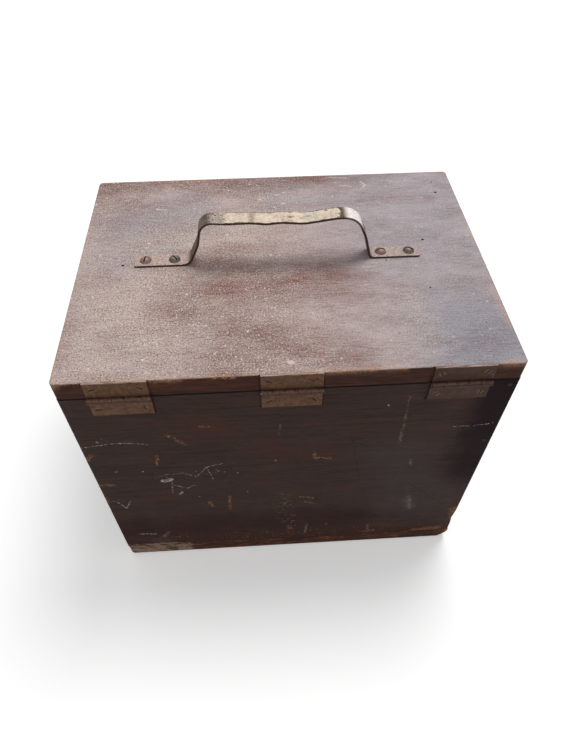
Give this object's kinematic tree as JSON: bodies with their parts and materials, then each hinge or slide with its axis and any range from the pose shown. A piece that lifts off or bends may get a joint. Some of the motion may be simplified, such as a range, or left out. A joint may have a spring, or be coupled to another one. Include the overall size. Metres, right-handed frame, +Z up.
{
  "type": "wooden storage box",
  "caption": "Rectangular wooden carrying box with a butt-hinged lid, a bent strap handle on top and hook catches at the front.",
  "frame": {"origin": "middle of the bottom face", "axes": "+Z up; +X along the box's length; the front with the catches faces -Y and the hinges face +Y"},
  "size_m": [0.381, 0.2936, 0.37],
  "materials": {
    "stained_wood": "dark mahogany stain, worn and dusty",
    "nail_iron": "dull rusty iron",
    "hinge_brass": "tarnished olive-brown",
    "pin_steel": "dull",
    "handle_paint": "old cream paint worn to bare steel",
    "screw_steel": "browned steel",
    "catch_brass": "tarnished"
  },
  "bodies": {
    "box": {"back_wall": "stained_wood", "front_wall": "stained_wood", "left_end_wall": "stained_wood", "right_end_wall": "stained_wood", "bottom_board": "stained_wood", "corner_nails": "nail_iron", "bottom_nails": "nail_iron", "hinge_screws_body": "hinge_brass", "pivot_screw_left": "catch_brass", "pivot_screw_right": "catch_brass", "hinge_left_body_leaf": "hinge_brass", "hinge_middle_body_leaf": "hinge_brass", "hinge_right_body_leaf": "hinge_brass", "hinge_left_pin": "pin_steel", "hinge_middle_pin": "pin_steel", "hinge_right_pin": "pin_steel"},
    "lid": {"lid_board": "stained_wood", "hinge_screws_lid": "hinge_brass", "handle_strap": "handle_paint", "handle_screws": "screw_steel", "keeper_screw_left": "catch_brass", "keeper_screw_right": "catch_brass", "hinge_left_lid_leaf": "hinge_brass", "hinge_middle_lid_leaf": "hinge_brass", "hinge_right_lid_leaf": "hinge_brass"},
    "hook_left": {"hook_left": "catch_brass"},
    "hook_right": {"hook_right": "catch_brass"}
  },
  "joints": [
    {"name": "lid_hinge", "type": "hinge", "parent": "box", "child": "lid", "pos_m": [0, 0.1446, 0.3021], "axis": [-1, 0, 0], "range_deg": [0, 180]},
    {"name": "hook_left_pivot", "type": "hinge", "parent": "box", "child": "hook_left", "pos_m": [-0.118, -0.1436, 0.2892], "axis": [0, -1, 0], "range_deg": [-160, 180]},
    {"name": "hook_right_pivot", "type": "hinge", "parent": "box", "child": "hook_right", "pos_m": [0.118, -0.1436, 0.2892], "axis": [0, 1, 0], "range_deg": [-160, 180]}
  ]
}
